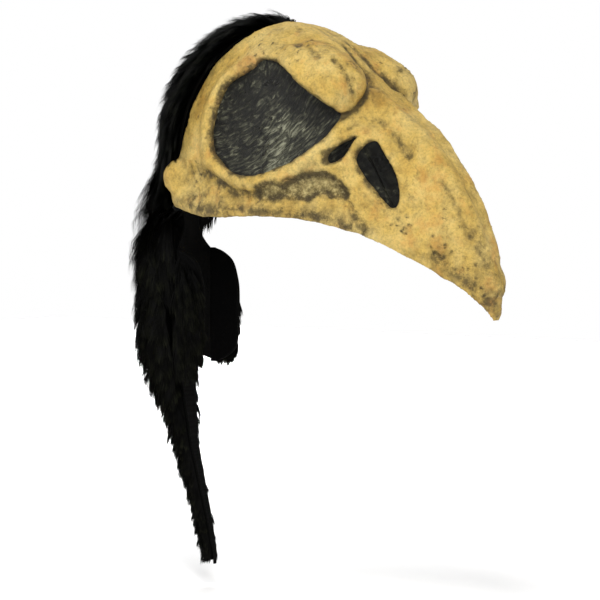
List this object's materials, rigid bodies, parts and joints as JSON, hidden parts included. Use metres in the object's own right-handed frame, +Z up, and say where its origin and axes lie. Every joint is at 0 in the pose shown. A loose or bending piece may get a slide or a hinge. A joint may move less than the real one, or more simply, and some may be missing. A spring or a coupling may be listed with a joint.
{
  "type": "bird skull mask",
  "caption": "Raven-skull half mask with a long downward beak, black eye sockets, a fur hood over the back of the head, neck flaps and a hanging fur mane.",
  "frame": {"origin": "middle of the opening that the head goes into, level with the lower rim of the cheeks", "axes": "+Z up, -Y the way the beak points, +X the wearer's left"},
  "size_m": [0.18, 0.4129, 0.555],
  "materials": {
    "bone_latex": "hand-painted matt latex, ochre bone with brown staining in the creases",
    "black_latex": "brushed black paint, half gloss",
    "screen_mesh": "see-through black mesh",
    "black_fur": "long-pile faux fur, nap running down and back",
    "lining_cloth": "plain woven lining",
    "flap_cloth": "plain black knit without pile",
    "binding_tape": "woven tape",
    "pad_foam": "open-cell foam",
    "elastic": "ribbed elastic webbing",
    "anchor_rubber": "moulded rubber block",
    "rivet_metal": "blackened steel",
    "slide_plastic": "moulded matt plastic"
  },
  "bodies": {
    "mask": {"skull_shell": "bone_latex", "left_eye_socket": "black_latex", "right_eye_socket": "black_latex", "left_nostril_screen": "screen_mesh", "right_nostril_screen": "screen_mesh", "left_fenestra_screen": "screen_mesh", "right_fenestra_screen": "screen_mesh", "hood_fur": "black_fur", "hood_lining": "lining_cloth", "hood_edge_tape": "binding_tape", "left_brow_pad": "pad_foam", "right_brow_pad": "pad_foam", "crown_pad": "pad_foam", "left_cheek_pad": "pad_foam", "right_cheek_pad": "pad_foam", "head_strap": "elastic", "left_strap_anchor": "anchor_rubber", "right_strap_anchor": "anchor_rubber", "strap_rivets": "rivet_metal"},
    "mane": {"mane_fur": "black_fur", "mane_backing": "lining_cloth"},
    "left_flap": {"left_neck_flap": "flap_cloth", "left_flap_fur": "black_fur", "left_flap_binding": "binding_tape"},
    "right_flap": {"right_neck_flap": "flap_cloth", "right_flap_fur": "black_fur", "right_flap_binding": "binding_tape"},
    "slide": {"strap_slide": "slide_plastic"}
  },
  "joints": [
    {"name": "mane_swing", "type": "hinge", "parent": "mask", "child": "mane", "pos_m": [0, 0.1265, 0.003], "axis": [1, 0, 0], "range_deg": [0, 35]},
    {"name": "left_flap_swing", "type": "hinge", "parent": "mask", "child": "left_flap", "pos_m": [0.0285, 0.101, -0.09], "axis": [0, 0, 1], "range_deg": [-5, 45]},
    {"name": "right_flap_swing", "type": "hinge", "parent": "mask", "child": "right_flap", "pos_m": [-0.0285, 0.101, -0.09], "axis": [0, 0, -1], "range_deg": [-5, 45]},
    {"name": "strap_adjust", "type": "slide", "parent": "mask", "child": "slide", "axis": [0.3451, 0.9386, 0], "range_m": [-0.006, 0.006]}
  ]
}
